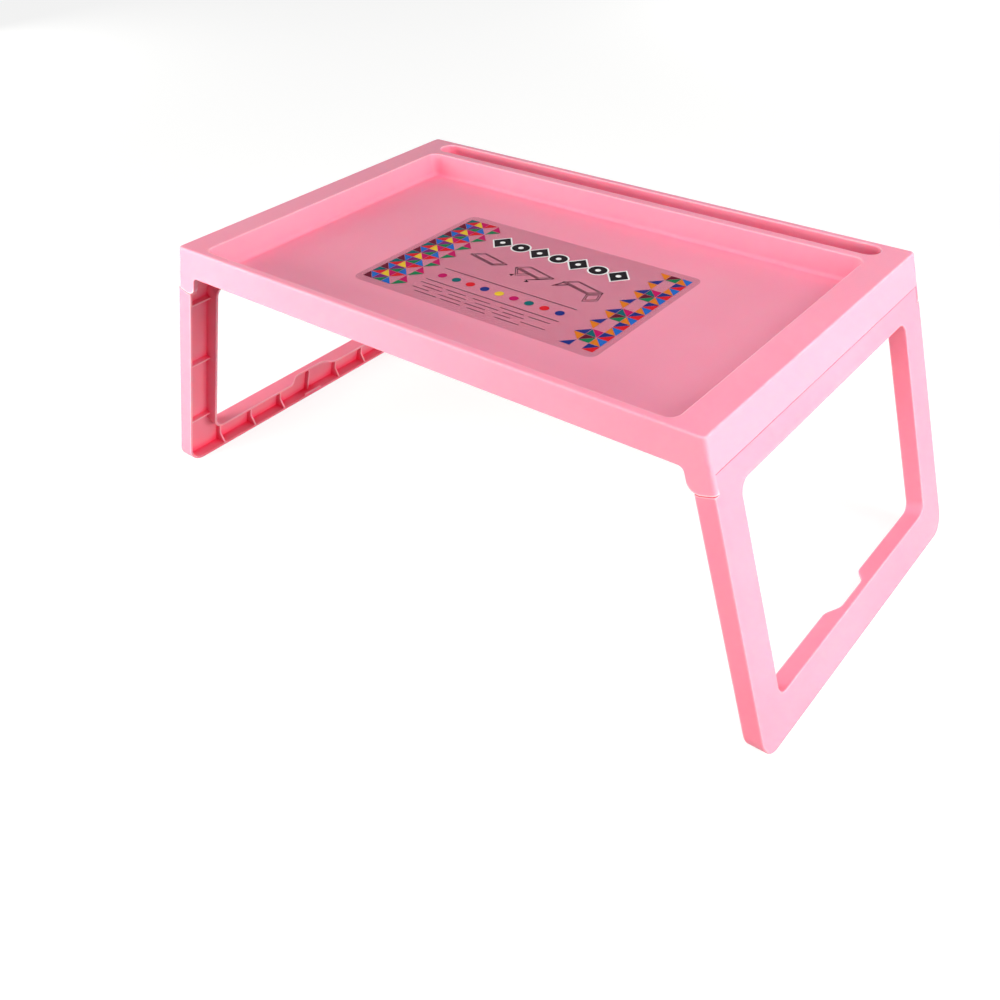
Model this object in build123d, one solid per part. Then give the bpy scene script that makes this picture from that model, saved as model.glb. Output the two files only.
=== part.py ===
from build123d import *
import os
from math import cos, radians, sin, tan

# Folding lap desk: a moulded tray with a recessed top, two fold-in leg frames hung on four
# snap pins between the tray's corner ears, and a clear label film on the tray floor.
# Millimetres. +X along the long side, -Y is the user's side, +Z up, and Z = 0 is the floor.
# The origin is the plan centre at the floor, with the legs open.

os.makedirs("parts", exist_ok=True)

# ---------------------------------------------------------------- driving dimensions
# Whole desk
height = 262.0              # floor to rim
top_length = 538.0          # rim, along X
top_depth = 357.0           # rim, along Y
end_splay = 16.8            # degrees that the end faces and legs lean outwards
side_draft = 0.2            # degrees that the front and back faces lean outwards

# Tray moulding
tray_wall = 2.4
skirt_height = 27.8         # rim down to the skirt's lower edge
corner_radius = 4.0         # upright corners of the tray
rim_round = 1.8             # round of the rim's outer edge
mouth_round = 1.0           # round of the recess and slot edges
end_rim = 27.4
front_rim = 8.0
back_rim = 38.0             # includes the device slot
recess_depth = 22.0
recess_corner = 9.5
recess_draft = 10.0         # degrees
recess_fillet = 4.2         # floor to wall
slot_end_rim = 23.6         # rim left beyond each end of the slot
slot_width = 21.5
slot_depth = 16.0
slot_draft = 1.0            # degrees
slot_back_rim = 7.0         # rim left behind the slot
rib_wall = 1.6
rim_rib_pitch = 44.0        # cross ribs inside the rims
rim_rib_depth = 15.0
floor_rib_pitch = 58.0      # stiffening ribs under the tray floor
floor_rib_height = 2.6
catch_width = 20.0          # tongue under the floor that a folded foot rail slides over
catch_wall = 1.8
catch_reach = 3.0           # how far the tongue dips past the folded foot rail's edge
catch_gap = 0.4

# Hinge
pivot_depth = 12.9          # pin axis below the outer face of the end
pivot_drop = 34.2           # pin axis below the rim
ear_drop = 42.0             # rim down to the ear's lower outer corner
ear_depth = 21.0            # ear's inner side below the outer face of the end
ear_round = 9.5             # ear's lower inner corner
ear_thickness = 4.8         # along Y
ear_fillet = 6.0            # ear to skirt
ear_root = 12.0             # how far the ear runs up inside the skirt
ear_proud = 0.5             # ear and skirt stand this far proud of the leg's outer face
pin_radius = 2.2
pin_running_clearance = 0.06
pin_head_radius = 3.2
pin_head_thickness = 1.8
pin_bite = 3.4              # pin length inside the ear
pin_end_clearance = 0.3
pin_chamfer = 0.6
boss_radius = 5.2
boss_length = 6.0

# Leg moulding
leg_depth = 16.0            # flange depth, square to the outer face
leg_wall = 2.2
leg_corner = 18.0           # foot corners
leg_edge_round = 1.0
post_width_top = 33.3       # leg post at the window's upper edge
post_width_foot = 34.8      # leg post at the window's lower edge
window_drop = 48.5          # rim down to the window
foot_rail = 36.2            # floor up to the window
window_corner_top = 11.0
window_corner_foot = 10.0
parting_gap = 0.9           # skirt edge to leg top
side_gap = 0.3              # leg to ear, along Y
shoulder_gap = 0.8          # ear's round to the leg's shoulder
leg_rib_height = 5.6        # above the outer plate
leg_rib_wall = 1.6
post_rib_heights = (197.7, 125.2, 51.7)
rail_rib_pitch = 44.0
foot_rib_knee = 13.0        # height where a foot rib starts to spread
notch_half_width = 34.0     # finger notch in the foot rail's upper flange
notch_ramp = 13.0
notch_edge_depth = 7.0
notch_round = 12.0
tab_width = 25.0            # raised tab on the foot rail's lower flange
tab_height = 3.6
tab_wall = 1.6

# Label film
film_length = 259.0
film_depth = 170.0
film_thickness = 0.2
film_corner = 8.0
film_centre_y = -16.0

# ---------------------------------------------------------------- derived places
splay = radians(end_splay)
end_tan = tan(splay)
side_tan = tan(radians(side_draft))
half_length = top_length / 2
half_depth = top_depth / 2
skirt_z = height - skirt_height
reach = top_length + top_depth      # longer than anything it cuts


def end_face_x(z):
    """X of the tray's right end face at height z."""
    return half_length + (height - z) * end_tan


def leg_face_x(z, depth=0.0):
    """X at height z of the plane that lies depth below the right leg's outer face."""
    return end_face_x(z) - (ear_proud + depth) / cos(splay)


def side_face_y(z):
    """Y of the tray's back face at height z."""
    return half_depth + (height - z) * side_tan


pivot_z = height - pivot_drop
pivot_x = end_face_x(pivot_z) - pivot_depth / cos(splay)
ear_inner_y = side_face_y(pivot_z) - ear_thickness
knuckle_y = ear_inner_y - side_gap
boss_y = knuckle_y - boss_length
fold_angle = 90.0 + end_splay
leg_top_z = skirt_z - parting_gap
window_top_z = height - window_drop
floor_z = height - recess_depth
floor_under_z = floor_z - tray_wall
recess_front_y = -half_depth + front_rim
recess_back_y = half_depth - back_rim
slot_length = top_length - 2 * slot_end_rim
slot_y = half_depth - slot_back_rim - slot_width / 2

outward = Vector(cos(splay), 0, sin(splay))     # normal of the right end face
down_leg = Vector(sin(splay), 0, -cos(splay))   # along the right leg, towards its foot
pivot = Vector(pivot_x, 0, pivot_z)
pivot_axis = Axis(pivot, (0, 1, 0))


# ---------------------------------------------------------------- helpers
def prism_y(face, y_low, y_high):
    """Solid between two Y planes over a face drawn in the plane Y = 0."""
    return extrude(Pos(0, y_low, 0) * face, amount=y_high - y_low, dir=(0, 1, 0))


def polygon_xz(points):
    return make_face(Polyline(*[Vector(x, 0, z) for x, z in points], close=True))


def polygon_yz(points):
    return make_face(Polyline(*[Vector(0, y, z) for y, z in points], close=True))


def wall_across(y, thickness, z_low, z_high):
    """Thin wall square to Y, longer than the desk."""
    return Pos(0, y, (z_low + z_high) / 2) * Box(2 * reach, thickness, z_high - z_low)


def multiples(pitch, limit):
    """Whole multiples of pitch, both ways, that stay within limit of zero."""
    count = int(limit // pitch)
    return [pitch * k for k in range(-count, count + 1)]


def taper_block(length, depth, z_high, z_low):
    """Block whose ends and sides lean outwards as they go down from z_high."""
    drop = z_high - z_low
    half_l, half_d = length / 2, depth / 2
    low_l, low_d = half_l + drop * end_tan, half_d + drop * side_tan
    front = polygon_xz([(-half_l, z_high), (half_l, z_high), (low_l, z_low), (-low_l, z_low)])
    side = polygon_yz([(-half_d, z_high), (half_d, z_high), (low_d, z_low), (-low_d, z_low)])
    return prism_y(front, -reach, reach) & extrude(side, amount=reach, dir=(1, 0, 0), both=True)


def on_both_sides(solid):
    """The solid and its mirror image across the plane Y = 0."""
    return [solid, mirror(solid, about=Plane.XZ)]


# ---------------------------------------------------------------- tray
def below_face(depth, drop):
    """Point depth below the right end's outer face, measured square to the face from the
    place on it that lies drop below the rim."""
    return Vector(end_face_x(height - drop), 0, height - drop) - outward * depth


def ear_face():
    """Ear outline in the plane Y = 0: a lower edge square to the end face, a rounded inner
    corner, and a fillet into the skirt's edge."""
    low_out = below_face(-corner_radius, ear_drop)
    low_in = below_face(ear_depth - ear_round, ear_drop)
    round_centre = low_in - down_leg * ear_round
    diagonal = (down_leg - outward).normalized()
    round_end = round_centre - outward * ear_round
    skirt_corner = Vector(end_face_x(skirt_z) - ear_depth / cos(splay), 0, skirt_z)
    tangent = ear_fillet * tan(radians(45) - splay / 2)
    fillet_centre = skirt_corner - Vector(tangent, 0, ear_fillet)
    towards_corner = (skirt_corner - fillet_centre).normalized()
    skirt_end = skirt_corner - Vector(tangent, 0, 0)
    root_z = skirt_z + ear_root
    outline = [
        Line(low_out, low_in),
        ThreePointArc(low_in, round_centre + diagonal * ear_round, round_end),
        Line(round_end, skirt_corner + down_leg * tangent),
        ThreePointArc(skirt_corner + down_leg * tangent,
                      fillet_centre + towards_corner * ear_fillet, skirt_end),
        Line(skirt_end, Vector(skirt_end.X, 0, root_z)),
        Line(Vector(skirt_end.X, 0, root_z), Vector(low_out.X, 0, root_z)),
        Line(Vector(low_out.X, 0, root_z), low_out),
    ]
    return make_face(outline)


def tray_envelope():
    """Outer form of the tray and its ears before anything is hollowed out."""
    block = taper_block(top_length, top_depth, height, pivot_z - 2 * pivot_depth)
    upright = [e for e in block.edges() if abs(e.tangent_at(0.5).Z) > 0.5]
    block = fillet(upright, corner_radius)
    return fillet(block.faces().sort_by(Axis.Z)[-1].edges(), rim_round)


def pocket(face, depth, draft):
    """Tool for a drafted pocket that sinks from the rim under a plan outline."""
    return extrude(Pos(0, 0, height) * face, amount=-depth, taper=draft)


def recess_outline(grow=0.0):
    length = top_length - 2 * end_rim + 2 * grow
    depth = recess_back_y - recess_front_y + 2 * grow
    centre_y = (recess_back_y + recess_front_y) / 2
    return Pos(0, centre_y) * RectangleRounded(length, depth, recess_corner + grow)


def slot_outline(grow=0.0):
    return Pos(0, slot_y) * SlotOverall(slot_length + 2 * grow, slot_width + 2 * grow)


def recess_tool():
    tool = pocket(recess_outline(), recess_depth, recess_draft)
    return fillet(tool.faces().sort_by(Axis.Z)[0].edges(), recess_fillet)


def tray_cavity():
    """Everything that is empty under the tray, around the recess and the slot."""
    ceiling = height - tray_wall
    length = 2 * (end_face_x(ceiling) - tray_wall / cos(splay))
    depth = 2 * (side_face_y(ceiling) - tray_wall)
    cavity = taper_block(length, depth, ceiling, pivot_z - 3 * pivot_depth)
    cavity -= pocket(recess_outline(tray_wall), recess_depth + tray_wall, recess_draft)
    cavity -= pocket(slot_outline(tray_wall), slot_depth + tray_wall, slot_draft)
    rib_low = height - rim_rib_depth
    for y in multiples(rim_rib_pitch, recess_back_y):
        cavity -= wall_across(y, rib_wall, rib_low, height)
    back_length = half_depth - recess_back_y
    for x in multiples(2 * rim_rib_pitch, half_length - end_rim):
        rib_y = recess_back_y + back_length / 2
        rib = Box(rib_wall, back_length, rim_rib_depth, align=(Align.CENTER, Align.CENTER, Align.MIN))
        cavity -= Pos(x, rib_y, rib_low) * rib
    return cavity


def floor_ribs():
    """Shallow grid under the tray floor."""
    inset = recess_depth * tan(radians(recess_draft))
    length = top_length - 2 * end_rim - 2 * inset
    depth = recess_back_y - recess_front_y - 2 * inset
    centre_y = (recess_back_y + recess_front_y) / 2
    z = floor_under_z - floor_rib_height / 2
    ribs = [Pos(0, centre_y + y, z) * Box(length, rib_wall, floor_rib_height)
            for y in multiples(floor_rib_pitch, depth / 2)]
    ribs += [Pos(x, centre_y, z) * Box(rib_wall, depth, floor_rib_height)
             for x in multiples(floor_rib_pitch, length / 2)]
    return ribs


def catch_tongues():
    """Two tongues under the floor that dip into the folded foot rails, beside their tabs."""
    tab_tip = Vector(leg_face_x(leg_wall, leg_depth), 0, leg_wall + tab_height)
    folded_tip = (tab_tip - pivot).rotate(Axis.Y, fold_angle) + pivot
    tongue_x = folded_tip.X + catch_gap + catch_wall / 2
    low_z = folded_tip.Z - catch_reach
    tongue = Box(catch_wall, catch_width, floor_under_z - low_z)
    return [Pos(side * tongue_x, 0, (floor_under_z + low_z) / 2) * tongue for side in (-1, 1)]


def make_tray():
    envelope = tray_envelope()
    below = Pos(0, 0, skirt_z - reach / 2) * Box(2 * reach, 2 * reach, reach)
    tray = envelope - below - recess_tool() - pocket(slot_outline(), slot_depth, slot_draft)
    rim = tray.faces().sort_by(Axis.Z)[-1]
    tray = fillet(rim.inner_wires().edges(), mouth_round)
    tray -= tray_cavity()
    bore = Cylinder(pin_radius + pin_running_clearance, pin_bite + pin_end_clearance,
                    align=(Align.CENTER, Align.CENTER, Align.MIN))
    bore = Pos(pivot_x, ear_inner_y, pivot_z) * Rot(-90, 0, 0) * bore
    ear = (prism_y(ear_face(), ear_inner_y, half_depth + corner_radius) & envelope) - bore
    for lug in on_both_sides(ear):
        tray += [lug, mirror(lug, about=Plane.YZ)]
    for extra in floor_ribs() + catch_tongues():
        tray += extra
    return tray


# ---------------------------------------------------------------- leg frame
def leg_plane(z):
    """Plane on the right leg's outer face at height z: local x is Y, local y runs up the leg."""
    return Plane(origin=(leg_face_x(z), 0, z), x_dir=(0, 1, 0), z_dir=outward)


def leg_blank():
    """Right leg before hollowing: a slab between the outer face and the flange plane, with
    a flat foot and round foot corners."""
    profile = polygon_xz([
        (leg_face_x(leg_top_z), leg_top_z),
        (leg_face_x(0), 0),
        (leg_face_x(0, leg_depth), 0),
        (leg_face_x(leg_top_z, leg_depth), leg_top_z),
    ])
    return prism_y(profile, -reach, reach) & leg_side_view(0.0)


def leg_side_view(inset):
    """Prism along X over the leg's outline seen from the end, drawn in by inset."""
    foot_half = side_face_y(0) - inset
    top_half = side_face_y(height) - inset
    outline = polygon_yz([(-foot_half, inset), (foot_half, inset),
                          (top_half, height - inset), (-top_half, height - inset)])
    prism = extrude(outline, amount=reach, dir=(1, 0, 0))
    low_edges = [e for e in prism.edges().filter_by(Axis.X) if e.center().Z < height / 2]
    return fillet(low_edges, leg_corner - inset)


def window_tool(grow=0.0):
    """Prism square to the outer face through the leg's window."""
    plane = leg_plane(foot_rail)
    rise = (window_top_z - foot_rail) / cos(splay)
    foot_half = side_face_y(foot_rail) - post_width_foot
    top_half = side_face_y(window_top_z) - post_width_top
    points = [(-foot_half, 0), (foot_half, 0), (top_half, rise), (-top_half, rise)]
    face = make_face(Polyline(*points, close=True))
    face = fillet(face.vertices().sort_by(Axis.Y)[-2:], window_corner_top)
    face = fillet(face.vertices().sort_by(Axis.Y)[:2], window_corner_foot)
    if grow:
        face = offset(face, amount=grow)
    return extrude(plane * face, amount=leg_depth + leg_corner, both=True)


def ear_clearance(gap, y_from):
    """Room for both ears in the right leg's own frame, with the leg open and folded."""
    face = offset(ear_face(), amount=gap)
    open_room = prism_y(face, y_from, half_depth + leg_corner)
    folded_room = open_room.rotate(pivot_axis, -fold_angle)
    return on_both_sides(open_room), on_both_sides(folded_room)


def rail_rib(y, knee_depth, spread):
    """Rib space across the foot rail; spread lets it widen to the lower flange's edge."""
    high = foot_rail + leg_depth
    low = -leg_depth
    foot_depth = leg_depth if spread else knee_depth
    profile = polygon_xz([
        (leg_face_x(high) + leg_depth, high),
        (leg_face_x(low) + leg_depth, low),
        (leg_face_x(low, foot_depth), low),
        (leg_face_x(leg_wall, foot_depth), leg_wall),
        (leg_face_x(foot_rib_knee, knee_depth), foot_rib_knee),
        (leg_face_x(high, knee_depth), high),
    ])
    return prism_y(profile, y - leg_rib_wall / 2, y + leg_rib_wall / 2)


def leg_rib_spaces():
    """Where the leg's ribs keep their plastic when the channel is hollowed."""
    rib_depth = leg_wall + leg_rib_height
    spaces = []
    foot_half = side_face_y(0) - post_width_foot
    for y in multiples(rail_rib_pitch, foot_half):
        spaces.append(rail_rib(y, rib_depth, spread=abs(y) > notch_half_width))
    for y in multiples(rail_rib_pitch, foot_half - rail_rib_pitch):
        top = leg_plane(window_top_z) * Pos(y, 0, 0)
        spaces.append(top * Box(leg_rib_wall, 2 * window_drop, 2 * rib_depth))
    for z in post_rib_heights:
        spaces.append(leg_plane(z) * Box(2 * top_depth, leg_rib_wall, 2 * rib_depth))
    return spaces


def hinge_boss():
    """Boss for the right leg's back pin."""
    boss = Cylinder(boss_radius, boss_length, align=(Align.CENTER, Align.CENTER, Align.MIN))
    return Pos(pivot_x, boss_y, pivot_z) * Rot(-90, 0, 0) * boss


def boss_web():
    """Where the plastic between the boss and the outer plate stays when it is hollowed."""
    plane = Plane(origin=pivot, x_dir=(0, 1, 0), z_dir=outward)
    web = Box(boss_length, 2 * boss_radius, pivot_depth,
              align=(Align.MIN, Align.CENTER, Align.MIN))
    return Pos(0, boss_y, 0) * plane * web


def finger_notch():
    """Cut in the inner edge of the foot rail's upper flange, with S-shaped ends."""
    inner_half = notch_half_width - notch_ramp
    outer = notch_half_width + 2 * notch_round
    points = [
        (-outer, leg_depth),
        (-notch_half_width, leg_depth),
        (-inner_half, notch_edge_depth),
        (inner_half, notch_edge_depth),
        (notch_half_width, leg_depth),
        (outer, leg_depth),
        (outer, 2 * leg_depth),
        (-outer, 2 * leg_depth),
    ]
    face = make_face(Polyline(*points, close=True))
    turns = [v for v in face.vertices() if abs(v.X) < outer - notch_round]
    face = fillet(turns, notch_round)
    plane = Plane(origin=(leg_face_x(foot_rail), 0, foot_rail), x_dir=(0, 1, 0),
                  z_dir=-down_leg)
    return extrude(plane * face, amount=2 * leg_wall, both=True)


def foot_tab():
    """Low tab standing on the free edge of the foot rail's lower flange."""
    low, high = leg_wall / 2, leg_wall + tab_height
    profile = polygon_xz([
        (leg_face_x(low, leg_depth), low),
        (leg_face_x(high, leg_depth), high),
        (leg_face_x(high, leg_depth - tab_wall), high),
        (leg_face_x(low, leg_depth - tab_wall), low),
    ])
    return prism_y(profile, -tab_width / 2, tab_width / 2)


def make_leg():
    """Right leg frame: an outer plate with flanges and ribs, open on the inside."""
    open_room, folded_room = ear_clearance(shoulder_gap, knuckle_y)
    wall_room, _ = ear_clearance(shoulder_gap + leg_wall, knuckle_y - leg_wall)
    leg = leg_blank() - window_tool()
    for room in open_room:
        leg -= room
    shoulder_z = height - ear_drop - 2 * shoulder_gap
    face_edges = [e for e in leg.edges() if abs(edge_depth(e)) < 0.01 and e.center().Z < shoulder_z]
    leg = fillet(face_edges, leg_edge_round)
    low, high = leg_wall, leg_top_z - leg_wall
    open_depth = leg_depth + leg_wall
    hollow = prism_y(polygon_xz([
        (leg_face_x(high, leg_wall), high),
        (leg_face_x(low, leg_wall), low),
        (leg_face_x(low, open_depth), low),
        (leg_face_x(high, open_depth), high),
    ]), -reach, reach)
    hollow = (hollow & leg_side_view(leg_wall)) - window_tool(leg_wall)
    for keep in wall_room + leg_rib_spaces() + on_both_sides(boss_web()):
        hollow -= keep
    leg -= hollow
    for boss in on_both_sides(hinge_boss()):
        leg += boss
    leg -= finger_notch()
    for room in folded_room:
        leg -= room
    leg += foot_tab()
    hole = Pos(pivot_x, 0, pivot_z) * Rot(90, 0, 0) * Cylinder(pin_radius, 2 * knuckle_y + 1)
    return leg - hole


def edge_depth(edge):
    """Depth of an edge below the right leg's outer face, or a large number if it isn't level."""
    ends = [edge.position_at(t) for t in (0, 0.5, 1)]
    depths = [(Vector(leg_face_x(height), 0, height) - p).dot(outward) for p in ends]
    return max(depths, key=abs)


# ---------------------------------------------------------------- pin and film
def make_pin():
    """Right back hinge pin: pressed through the leg's boss, its tip turns in the ear."""
    tip_y = ear_inner_y + pin_bite
    shaft = Cylinder(pin_radius, tip_y - boss_y, align=(Align.CENTER, Align.CENTER, Align.MIN))
    shaft = chamfer(shaft.faces().sort_by(Axis.Z)[-1].edges(), pin_chamfer)
    head = Cylinder(pin_head_radius, pin_head_thickness,
                    align=(Align.CENTER, Align.CENTER, Align.MAX))
    head = fillet(head.faces().sort_by(Axis.Z)[0].edges(), pin_chamfer)
    return Pos(pivot_x, boss_y, pivot_z) * Rot(-90, 0, 0) * (shaft + head)


def make_film():
    outline = RectangleRounded(film_length, film_depth, film_corner)
    return Pos(0, film_centre_y, floor_z) * extrude(outline, amount=film_thickness)


def half_turn(shape):
    """The same piece fitted at the other end of the desk."""
    return shape.rotate(Axis.Z, 180)


tray_top = make_tray()
leg_frame_right = make_leg()
pin_back_right = make_pin()
pin_front_right = mirror(pin_back_right, about=Plane.XZ)
pieces = {
    "tray_top": tray_top,
    "leg_frame_right": leg_frame_right,
    "leg_frame_left": half_turn(leg_frame_right),
    "hinge_pin_back_right": pin_back_right,
    "hinge_pin_front_right": pin_front_right,
    "hinge_pin_front_left": half_turn(pin_back_right),
    "hinge_pin_back_left": half_turn(pin_front_right),
    "label_film": make_film(),
}
for name, piece in pieces.items():
    export_step(piece, f"parts/{name}.step")
    print(f"{name}: {piece.volume / 1000:.1f} cm3")
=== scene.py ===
"""Folding lap desk: camera, materials, label print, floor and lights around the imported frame."""

import math

import bmesh
import bpy
from mathutils import Matrix, Vector


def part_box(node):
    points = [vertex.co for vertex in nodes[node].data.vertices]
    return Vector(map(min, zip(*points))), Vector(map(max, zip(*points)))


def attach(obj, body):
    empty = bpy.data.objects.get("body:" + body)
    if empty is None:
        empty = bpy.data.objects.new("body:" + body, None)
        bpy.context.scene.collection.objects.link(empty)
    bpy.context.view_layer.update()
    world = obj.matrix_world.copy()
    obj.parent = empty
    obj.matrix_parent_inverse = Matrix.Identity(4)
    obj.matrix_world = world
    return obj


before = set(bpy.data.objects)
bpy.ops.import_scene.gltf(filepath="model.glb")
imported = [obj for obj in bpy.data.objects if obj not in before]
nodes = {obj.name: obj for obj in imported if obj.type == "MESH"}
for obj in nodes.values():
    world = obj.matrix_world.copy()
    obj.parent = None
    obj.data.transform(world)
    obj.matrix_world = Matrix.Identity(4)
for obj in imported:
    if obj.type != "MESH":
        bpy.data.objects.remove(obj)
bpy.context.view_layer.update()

MM = 0.001


# ------------------------------------------------------------------ camera
CAMERA_AT = (0.53523, -0.71066, 0.64708)
CAMERA_YAW = -39.515        # degrees from +Y towards +X
CAMERA_PITCH = 36.469       # degrees below the horizon
CAMERA_ROLL = -2.026
FOCAL_SHARE = 1.07776       # focal length over the frame's width
SENSOR = 36.0               # mm, the frame's width on the sensor
NEAREST, FURTHEST = 0.01, 50.0      # m from the camera that it shows


def make_camera():
    yaw, pitch, roll = (math.radians(a) for a in (CAMERA_YAW, CAMERA_PITCH, CAMERA_ROLL))
    ahead = Vector((math.cos(pitch) * math.sin(yaw), math.cos(pitch) * math.cos(yaw), -math.sin(pitch)))
    right = ahead.cross(Vector((0, 0, 1))).normalized()
    up = right.cross(ahead)
    right, up = (math.cos(roll) * right + math.sin(roll) * up,
                 -math.sin(roll) * right + math.cos(roll) * up)
    data = bpy.data.cameras.new("camera")
    data.sensor_width = SENSOR
    data.lens = SENSOR * FOCAL_SHARE
    data.clip_start, data.clip_end = NEAREST, FURTHEST
    camera = bpy.data.objects.new("camera", data)
    turn = Matrix((right, up, -ahead)).transposed().to_4x4()
    camera.matrix_world = Matrix.Translation(CAMERA_AT) @ turn
    bpy.context.scene.collection.objects.link(camera)
    bpy.context.scene.camera = camera


make_camera()


# ------------------------------------------------------------------ node graphs
OPENNESS_SAMPLES = 8
MOST_NOISE = (0.3, 0.7)     # nearly all of a noise lies between these two


def linear(r, g, b):
    """0-255 screen colour to linear."""
    def one(c):
        c /= 255
        return c / 12.92 if c <= 0.04045 else ((c + 0.055) / 1.055) ** 2.4
    return (one(r), one(g), one(b), 1.0)


class Graph:
    """Small helper for wiring a node tree."""

    def __init__(self, owner, output):
        owner.use_nodes = True
        self.owner = owner
        self.tree = owner.node_tree
        self.tree.nodes.clear()
        self.out = self.add(output)

    def add(self, kind, settings=(), **inputs):
        node = self.tree.nodes.new(kind)
        for key, value in dict(settings).items():
            setattr(node, key, value)
        for key, value in inputs.items():
            self.put(node, key.replace("_", " "), value)
        return node

    def put(self, node, key, value):
        """Links a socket to another node's output, or sets its own value."""
        socket = node.inputs[key]
        if hasattr(value, "is_output"):
            self.tree.links.new(value, socket)
        else:
            socket.default_value = value

    def math(self, operation, *values):
        node = self.add("ShaderNodeMath", {"operation": operation})
        for index, value in enumerate(values):
            self.put(node, index, value)
        return node.outputs[0]

    def surface(self, shader):
        self.put(self.out, "Surface", shader.outputs[0])
        return self.owner


def material_graph(name):
    return Graph(bpy.data.materials.new(name), "ShaderNodeOutputMaterial")


def noise(g, where, scale, detail=2.0):
    """Cloudy noise from 0 to 1, scale in features to the metre."""
    return g.add("ShaderNodeTexNoise", Vector=where, Scale=scale, Detail=detail).outputs["Fac"]


def ramp(g, value, span, result):
    """Maps a value from the span's two ends to the result's two ends, and holds it beyond them."""
    node = g.add("ShaderNodeMapRange", {"clamp": True})
    sockets = ("Value", "From Min", "From Max", "To Min", "To Max")
    for key, setting in zip(sockets, (value, *span, *result)):
        g.put(node, key, setting)
    return node.outputs["Result"]


def mix_colour(g, share, a, b):
    """Colour a where the share is 0, b where it is 1."""
    node = g.add("ShaderNodeMix", {"data_type": "RGBA"})
    for index, value in ((0, share), (6, a), (7, b)):
        g.put(node, index, value)
    return node.outputs[2]


def openness(g, reach, **settings):
    """Ambient occlusion within reach: 1 in the open, 0 where faces shut a point in."""
    node = g.add("ShaderNodeAmbientOcclusion", {"samples": OPENNESS_SAMPLES, **settings}, Distance=reach)
    return node.outputs["AO"]


# ------------------------------------------------------------------ moulded plastic
CLOUD_SCALE, CLOUD_DETAIL = 9.0, 3.0
GRAIN_SCALE = 420.0
GRAIN_SPAN = (0.35, 0.65)
GRAIN_ROUGHNESS = (0.42, 0.45)
SEED_STEP = 0.37            # m that each piece's clouds are shifted by, against the last piece's
EDGE_REACH = 0.0016         # m inwards from a face that counts as near an edge
EDGE_SPAN = (0.6, 0.96)     # openness inwards, on an edge and away from one
EDGE_HIGHLIGHT_SHARE = 0.8            # of the painted edge highlight's colour, on an edge
HOLLOW_SPAN = (0.25, 0.8)   # openness outwards, deep in a hollow and outside it
HOLLOW_SHADE_SHARE = 0.85         # of the painted hollow shade, deep in a hollow
PARTING_HEIGHT = 0.232      # m, where the skirt's ends meet the legs: no painted edge highlight near it
PARTING_SPAN = (0.008, 0.0128)      # m from there, with no painted edge highlight and with all of it
PLASTIC_IOR = 1.5
PLASTIC_FINISH = {
    "Specular IOR Level": 0.2,
    "Subsurface Weight": 0.5,
    "Subsurface Radius": (1.0, 0.15, 0.25),
    "Subsurface Scale": 0.0015,
}

# Shades by the start of the node's name. The edge shade is a painted highlight along outer edges. The
# hollow shade is painted shade, darker and redder, where faces within reach (m) shut a point in, and
# alone says that only the piece's own faces count.
SHADES = {
    "tray": dict(main=linear(241, 150, 175), deep=linear(239, 144, 170), edge=linear(255, 220, 231),
                 hollow_shade=linear(255, 116, 150), alone=True, reach=0.022),
    "leg": dict(main=linear(247, 141, 167), deep=linear(245, 135, 162), edge=linear(255, 185, 203),
                hollow_shade=linear(250, 48, 103), alone=False, reach=0.012),
    "hinge": dict(main=linear(247, 141, 167), deep=linear(245, 135, 162), edge=linear(247, 141, 167),
                  hollow_shade=linear(250, 48, 103), alone=True, reach=0.005),
}


def moulded_plastic(name, seed, main, deep, edge, hollow_shade, alone, reach):
    """Satin polypropylene with a fine grain and faint flow clouds, a painted highlight along its outer
    edges, and painted shade, darker and redder, in its hollows."""
    g = material_graph(name)
    own = g.add("ShaderNodeTexCoord").outputs["Object"]
    shift = (seed, seed * 0.7, seed * 0.3)
    place = g.add("ShaderNodeMapping", Vector=own, Location=shift).outputs["Vector"]
    clouds = noise(g, place, CLOUD_SCALE, CLOUD_DETAIL)
    grain = noise(g, place, GRAIN_SCALE)
    body = mix_colour(g, ramp(g, clouds, MOST_NOISE, (0.0, 1.0)), deep, main)

    # Painted highlight: a paler colour along convex edges, where the solid is shut in just under the
    # face, stands in for glints on the rounded edges.
    inwards = openness(g, EDGE_REACH, inside=True, only_local=True)
    height = g.add("ShaderNodeSeparateXYZ", Vector=own).outputs["Z"]
    from_parting = g.math("ABSOLUTE", g.math("SUBTRACT", height, PARTING_HEIGHT))
    edge_highlight_share = g.math("MULTIPLY", ramp(g, inwards, EDGE_SPAN, (EDGE_HIGHLIGHT_SHARE, 0.0)),
                        ramp(g, from_parting, PARTING_SPAN, (0.0, 1.0)))
    body = mix_colour(g, edge_highlight_share, body, edge)

    # Painted shade: a darker, redder colour where other faces shut a point in, in seams, rib roots and
    # pockets, for the shade and bounced light there.
    outwards = openness(g, reach, only_local=alone)
    body = mix_colour(g, ramp(g, outwards, HOLLOW_SPAN, (HOLLOW_SHADE_SHARE, 0.0)), body, hollow_shade)

    shader = g.add("ShaderNodeBsdfPrincipled", IOR=PLASTIC_IOR, Base_Color=body,
                   Roughness=ramp(g, grain, GRAIN_SPAN, GRAIN_ROUGHNESS))
    for key, value in PLASTIC_FINISH.items():
        g.put(shader, key, value)
    return g.surface(shader)


# ------------------------------------------------------------------ film and inks
FILM_SHADE = linear(110, 40, 70)
FILM_ALPHA = 0.13
FILM_ROUGHNESS = (0.36, 0.44)
WAVE_SCALE, WAVE_STRENGTH, WAVE_HEIGHT = 60.0, 0.08, 0.0002
SCREEN_SCALE, SCREEN_DETAIL = 1500.0, 1.0
SCREEN_DARKER = 0.85        # an ink's darkest shade over its lightest
INK_ROUGHNESS = (0.35, 0.45)


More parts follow.
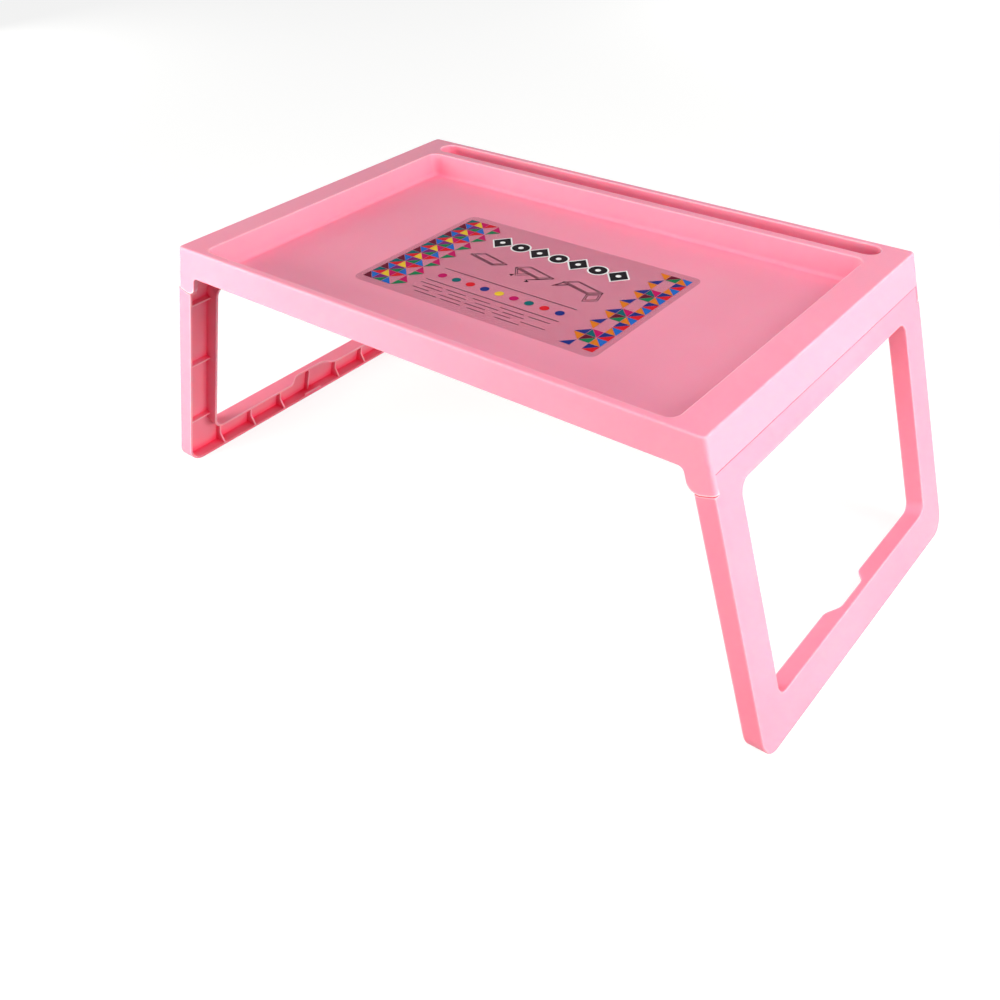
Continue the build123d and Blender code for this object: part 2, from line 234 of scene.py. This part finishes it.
def film_material():
    """Clear self-adhesive film, faintly wavy, which dulls the tray under it a little."""
    g = material_graph("label_film")
    place = g.add("ShaderNodeTexCoord").outputs["Object"]
    waves = noise(g, place, WAVE_SCALE)
    bump = g.add("ShaderNodeBump", Strength=WAVE_STRENGTH, Distance=WAVE_HEIGHT, Height=waves)
    shader = g.add("ShaderNodeBsdfPrincipled", Base_Color=FILM_SHADE, IOR=PLASTIC_IOR, Alpha=FILM_ALPHA,
                   Specular_IOR_Level=0.35, Roughness=ramp(g, waves, MOST_NOISE, FILM_ROUGHNESS),
                   Normal=bump.outputs["Normal"])
    return g.surface(shader)


def ink_material(name, colour):
    """Printed ink, with a faint screen grain."""
    g = material_graph(name)
    place = g.add("ShaderNodeTexCoord").outputs["Object"]
    screen = noise(g, place, SCREEN_SCALE, SCREEN_DETAIL)
    darker = tuple(c * SCREEN_DARKER for c in colour[:3]) + (1.0,)
    shader = g.add("ShaderNodeBsdfPrincipled", IOR=PLASTIC_IOR,
                   Base_Color=mix_colour(g, screen, darker, colour), Specular_IOR_Level=0.02,
                   Roughness=ramp(g, screen, MOST_NOISE, INK_ROUGHNESS))
    return g.surface(shader)


def dress_nodes():
    """Gives every CAD node its material."""
    for index, (name, piece) in enumerate(sorted(nodes.items())):
        if name == "label_film":
            material = film_material()
        else:
            material = moulded_plastic(name + "_plastic", SEED_STEP * index, **SHADES[name.split("_")[0]])
        piece.data.materials.clear()
        piece.data.materials.append(material)


dress_nodes()


# ------------------------------------------------------------------ label print
# Places and sizes on the print are in millimetres, from the film's centre: u to the right, v to the back.
INKS = {
    "black": (22, 18, 24), "white": (248, 246, 248), "maroon": (104, 14, 44), "magenta": (196, 18, 98),
    "purple": (124, 34, 118), "navy": (34, 48, 128), "blue": (36, 104, 196), "teal": (12, 98, 104),
    "green": (24, 122, 78), "yellow": (236, 196, 56), "orange": (224, 122, 34), "red": (220, 30, 44),
}
INK_ORDER = list(INKS)
BRIGHT_INKS = INK_ORDER[2:]
INK_LAYER = 0.02            # thickness of one layer of ink
MITRE_LIMIT = 0.35          # least cosine between a mitre and a run's normal, so that no corner spikes


class Print:
    """Thin closed prisms of ink on the film."""

    def __init__(self):
        low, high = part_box("label_film")
        self.centre = (low + high) / 2
        self.top = high.z
        self.mesh = bmesh.new()

    def area(self, outline, ink, layer=0):
        """Closed prism over an outline."""
        rings = [[self.mesh.verts.new((self.centre.x + u * MM, self.centre.y + v * MM,
                                       self.top + (layer + level) * INK_LAYER * MM)) for u, v in outline]
                 for level in (0, 1)]
        bottom, top = rings
        count = len(outline)
        faces = [self.mesh.faces.new(top), self.mesh.faces.new(bottom[::-1])]
        for i in range(count):
            j = (i + 1) % count
            faces.append(self.mesh.faces.new((bottom[i], bottom[j], top[j], top[i])))
        for face in faces:
            face.material_index = INK_ORDER.index(ink)

    def disc(self, centre, radius, ink, layer=0, sides=28):
        points = [(centre[0] + radius * math.cos(2 * math.pi * i / sides),
                   centre[1] + radius * math.sin(2 * math.pi * i / sides)) for i in range(sides)]
        self.area(points, ink, layer)

    def stroke(self, points, width, ink, closed=False):
        """Line of constant width through the points, one prism to a run, mitred where runs meet."""
        path = [Vector(p) for p in points]
        if closed:
            path = [path[-1]] + path + [path[0]]
        else:
            path = [2 * path[0] - path[1]] + path + [2 * path[-1] - path[-2]]
        sides = []
        for before, here, after in zip(path, path[1:], path[2:]):
            into, out = (here - before).normalized(), (after - here).normalized()
            mitre = Vector((-into.y - out.y, into.x + out.x)).normalized()
            half = width / 2 / max(MITRE_LIMIT, mitre.dot(Vector((-into.y, into.x))))
            sides.append((here + mitre * half, here - mitre * half))
        if closed:
            sides.append(sides[0])
        for (left, right), (next_left, next_right) in zip(sides, sides[1:]):
            self.area([right, next_right, next_left, left], ink)

    def finish(self):
        data = bpy.data.meshes.new("label_print")
        bmesh.ops.recalc_face_normals(self.mesh, faces=self.mesh.faces)
        self.mesh.to_mesh(data)
        for ink in INK_ORDER:
            data.materials.append(ink_material("ink_" + ink, linear(*INKS[ink])))
        piece = bpy.data.objects.new("label_print", data)
        bpy.context.scene.collection.objects.link(piece)
        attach(piece, "tray")


def mosaic(ink_print, side):
    """Band of coloured triangles down one short side, thinning out towards the middle."""
    outer, pitch, gap = 123.5, 11.0, 0.6
    rows, columns, whole_columns = 14, 4, 2
    for column in range(columns):
        for row in range(rows):
            # a fixed scatter: it leaves out more squares in the inner columns, and it picks the inks
            step = 7 * column + 5 * row + (3 if side > 0 else 0)
            if column > 0 and (step * step + row) % (columns + 1 - column) == 0:
                continue
            near = side * (outer - pitch * column)
            far = near - side * (pitch - gap)
            low = (row - rows / 2) * pitch + gap / 2
            high = low + pitch - gap
            first, last, slip = (low, high, -gap) if (row + column) % 2 else (high, low, gap)
            halves = [[(near, first), (near, last), (far, last)],
                      [(far, last + slip), (far, first), (near - side * gap, first)]]
            for half, outline in enumerate(halves[:2 if column < whole_columns else 1]):
                ink = BRIGHT_INKS[(3 * step + 4 * half + column) % len(BRIGHT_INKS)]
                ink_print.area(outline, ink)


def headline(ink_print, v):
    """Row of black lozenges and discs with white edges and white eyes."""
    count, pitch = 7, 21.5
    disc_radius, eye_radius = 8.4, 2.6
    lozenge_reach, lozenge_share = 12.0, 0.85       # half its height, and its width over its height
    white_edge, corner_share = 1.6, 1.4             # a lozenge's corner needs more edge than a disc
    for i in range(count):
        u = (i - (count - 1) / 2) * pitch
        for ink, layer, edge in (("white", 0, white_edge), ("black", 1, 0.0)):
            if i % 2:
                ink_print.disc((u, v), disc_radius + edge, ink, layer)
            else:
                reach = lozenge_reach + edge * corner_share
                across = reach * lozenge_share
                corners = [(u - across, v), (u, v - reach), (u + across, v), (u, v + reach)]
                ink_print.area(corners, ink, layer)
        ink_print.disc((u, v), eye_radius, "white", 2, 16)


def outside(start, end, outline):
    """Parts of a line that a convex outline, given clockwise, doesn't cover."""
    touching = 1e-6
    shortest = 0.02         # share of the line
    enter, leave = 0.0, 1.0
    for a, b in zip(outline, outline[1:] + outline[:1]):
        edge = b - a
        inward = Vector((edge.y, -edge.x))
        at_start, at_end = (start - a).dot(inward), (end - a).dot(inward)
        if at_start < touching and at_end < touching:
            return [(start, end)]
        if at_start < 0:
            enter = max(enter, at_start / (at_start - at_end))
        elif at_end < 0:
            leave = min(leave, at_start / (at_start - at_end))
    if enter >= leave:
        return [(start, end)]
    return [(start.lerp(end, low), start.lerp(end, high))
            for low, high in ((0.0, enter), (leave, 1.0)) if high - low > shortest]


LEG_LEAN = 16.8             # degrees outwards, open
LEG_FOLD = 106.8            # degrees from open to folded


def pictogram(ink_print, centre, opening):
    """Slanted view of the desk with its legs turned by opening, 0 folded and 1 open."""
    length, depth, thickness, rim = 31.0, 20.0, 1.6, 2.4
    leg, leg_frame, leg_set_in = 15.0, 2.6, 0.4
    width = 0.55

    def flat(x, y, z):
        """Place on the print of a point of the small desk, which is seen from one corner."""
        return Vector((centre[0] + x + 0.52 * y, centre[1] - 0.26 * x + 0.4 * y + 0.85 * z))

    def level(inset, z):
        x, y = length / 2 - inset, depth / 2 - inset
        return [flat(-x, -y, z), flat(-x, y, z), flat(x, y, z), flat(x, -y, z)]

    top, low = level(0.0, 0.0), level(0.0, -thickness)
    ink_print.stroke(top, width, "black", closed=True)
    ink_print.stroke(level(rim, 0.0), width, "black", closed=True)
    ink_print.stroke([top[0], low[0], low[3], low[2], top[2]], width, "black")
    ink_print.stroke([top[3], low[3]], width, "black")
    if opening == 0:
        return
    cover = [low[0], top[0], top[1], top[2], low[2], low[3]]
    lean = math.radians(LEG_LEAN + LEG_FOLD * (opening - 1))
    for side in (-1, 1):
        def on_leg(y, down):
            x = side * (length / 2 - leg_set_in + math.sin(lean) * down)
            return flat(x, y, -thickness - math.cos(lean) * down)
        for inset in (0.0, leg_frame):
            half = depth / 2 - inset
            corners = [on_leg(y, down) for y, down in
                       ((-half, inset), (-half, leg - inset), (half, leg - inset), (half, inset))]
            for start, end in zip(corners, corners[1:] + corners[:1]):
                for part in outside(start, end, cover):
                    ink_print.stroke(part, width, "black")
        if opening < 1:
            tip = on_leg(-depth / 2, leg) + Vector((side * 6.0, -1.0))
            barbs = [tip + Vector((-side * 4.0, v)) for v in (2.2, -2.2)]
            ink_print.area([tip, *barbs], "black")


def dots(ink_print, v):
    count, pitch, radius = 9, 16.0, 4.2
    for i in range(count):
        ink = BRIGHT_INKS[(4 * i + 1) % len(BRIGHT_INKS)]
        ink_print.disc(((i - count // 2) * pitch, v), radius, ink)


def dashes(ink_print, start, top):
    """Rows of thin dashes of uneven length, like lines of small print."""
    rows, row_pitch, dash_pitch, indent = 4, 5.5, 29.6, 7.0
    longest, shorter_by, width = 25.0, 3.0, 0.7
    for row in range(rows):
        v = top - row_pitch * row
        for i in range(5 - row % 2):
            u = start + dash_pitch * i + indent * (row % 2)
            ink_print.stroke([(u, v), (u + longest - shorter_by * ((i + row) % 3), v)], width, "black")


def make_label_print():
    rule_reach, rule_width = 72.0, 0.8
    ink_print = Print()
    for side in (-1, 1):
        mosaic(ink_print, side)
    headline(ink_print, 50.0)
    for u, opening in ((-52.0, 0.0), (0.0, 0.5), (52.0, 1.0)):
        pictogram(ink_print, (u, 14.0), opening)
    for v in (-24.0, -50.0):
        ink_print.stroke([(-rule_reach, v), (rule_reach, v)], rule_width, "black")
    dots(ink_print, -37.0)
    dashes(ink_print, -rule_reach, -57.0)
    ink_print.finish()


make_label_print()


# ------------------------------------------------------------------ floor and world
FLOOR_HALF = 40.0           # m
FLOOR_SHADE = 0.25          # what the floor gives back of the lamps' light
FLOOR_GLOW = 0.85           # what it shows by itself, so that it stays pale under plain lamps
WORLD_FILL = 0.06           # light from all round


def seen_directly(g):
    """1 for rays that show the background itself, in the picture or in a reflection."""
    path = g.add("ShaderNodeLightPath").outputs
    return g.math("MAXIMUM", g.math("MAXIMUM", path["Is Camera Ray"], path["Is Glossy Ray"]),
                  path["Is Transmission Ray"])


def make_floor():
    """Large pale floor that keeps a soft shadow and can be seen through from below."""
    half = FLOOR_HALF
    corners = [(-half, -half, 0), (half, -half, 0), (half, half, 0), (-half, half, 0)]
    mesh = bpy.data.meshes.new("floor")
    mesh.from_pydata(corners, [], [(0, 1, 2, 3)])
    floor = bpy.data.objects.new("floor", mesh)
    bpy.context.scene.collection.objects.link(floor)
    g = material_graph("floor")
    paint = g.add("ShaderNodeBsdfDiffuse", Color=(FLOOR_SHADE, FLOOR_SHADE, FLOOR_SHADE, 1.0))
    glow = g.add("ShaderNodeEmission", Strength=g.math("MULTIPLY", seen_directly(g), FLOOR_GLOW))
    lit = g.add("ShaderNodeAddShader")
    g.put(lit, 0, paint.outputs[0])
    g.put(lit, 1, glow.outputs[0])
    sides = g.add("ShaderNodeMixShader")
    g.put(sides, 0, g.add("ShaderNodeNewGeometry").outputs["Backfacing"])
    g.put(sides, 1, lit.outputs[0])
    g.put(sides, 2, g.add("ShaderNodeBsdfTransparent").outputs[0])
    mesh.materials.append(g.surface(sides))


def make_world():
    """White where it is seen, and a little light from all round."""
    world = bpy.data.worlds.new("studio")
    bpy.context.scene.world = world
    g = Graph(world, "ShaderNodeOutputWorld")
    strength = ramp(g, seen_directly(g), (0.0, 1.0), (WORLD_FILL, 1.0))
    g.surface(g.add("ShaderNodeBackground", Color=(1.0, 1.0, 1.0, 1.0), Strength=strength))


make_floor()
make_world()


# ------------------------------------------------------------------ lights
# The low lamps at the front left, back and left light the desk's sides, and stay out of reflections
# because they would glare on the rim.
LAMP_AIM = Vector((0.0, 0.0, 0.18))
LIGHTS = (
    # name, azimuth, elevation, watts, width, height, distance, share of blue, seen in reflections
    ("right", 0.0, 8.0, 25.0, 1.6, 0.5, 2.4, 0.84, True),
    ("right_near", 0.0, 8.0, 7.6, 0.8, 0.3, 1.1, 0.86, True),
    ("right_high", 0.0, 27.0, 7.0, 1.2, 0.4, 2.4, 0.96, True),
    ("right_over", 0.0, 50.0, 6.0, 0.8, 0.8, 1.1, 1.0, True),
    ("front_over", -90.0, 50.0, 20.0, 1.6, 1.2, 2.4, 1.0, True),
    ("front_left", -120.0, 10.0, 15.0, 0.5, 0.4, 1.1, 0.86, False),
    ("back", 90.0, 0.0, 30.0, 1.6, 0.3, 2.4, 0.95, False),
    ("left", 180.0, 0.0, 26.0, 1.2, 0.3, 2.4, 0.95, False),
)


def area_light(name, azimuth, elevation, watts, width, height, distance, blue, glossy):
    """Softbox aimed at the desk; azimuth in degrees from +X towards +Y."""
    turn, rise = math.radians(azimuth), math.radians(elevation)
    away = Vector((math.cos(rise) * math.cos(turn), math.cos(rise) * math.sin(turn), math.sin(rise)))
    data = bpy.data.lights.new(name, "AREA")
    data.shape = "RECTANGLE"
    data.size, data.size_y = width, height
    data.energy = watts
    data.color = (1.0, 1.0, blue)
    light = bpy.data.objects.new(name, data)
    light.location = LAMP_AIM + away * distance
    light.rotation_euler = (-away).to_track_quat("-Z", "Y").to_euler()
    light.visible_camera = False
    light.visible_glossy = glossy
    bpy.context.scene.collection.objects.link(light)


for lamp in LIGHTS:
    area_light(*lamp)

bpy.context.scene.view_settings.view_transform = "Standard"
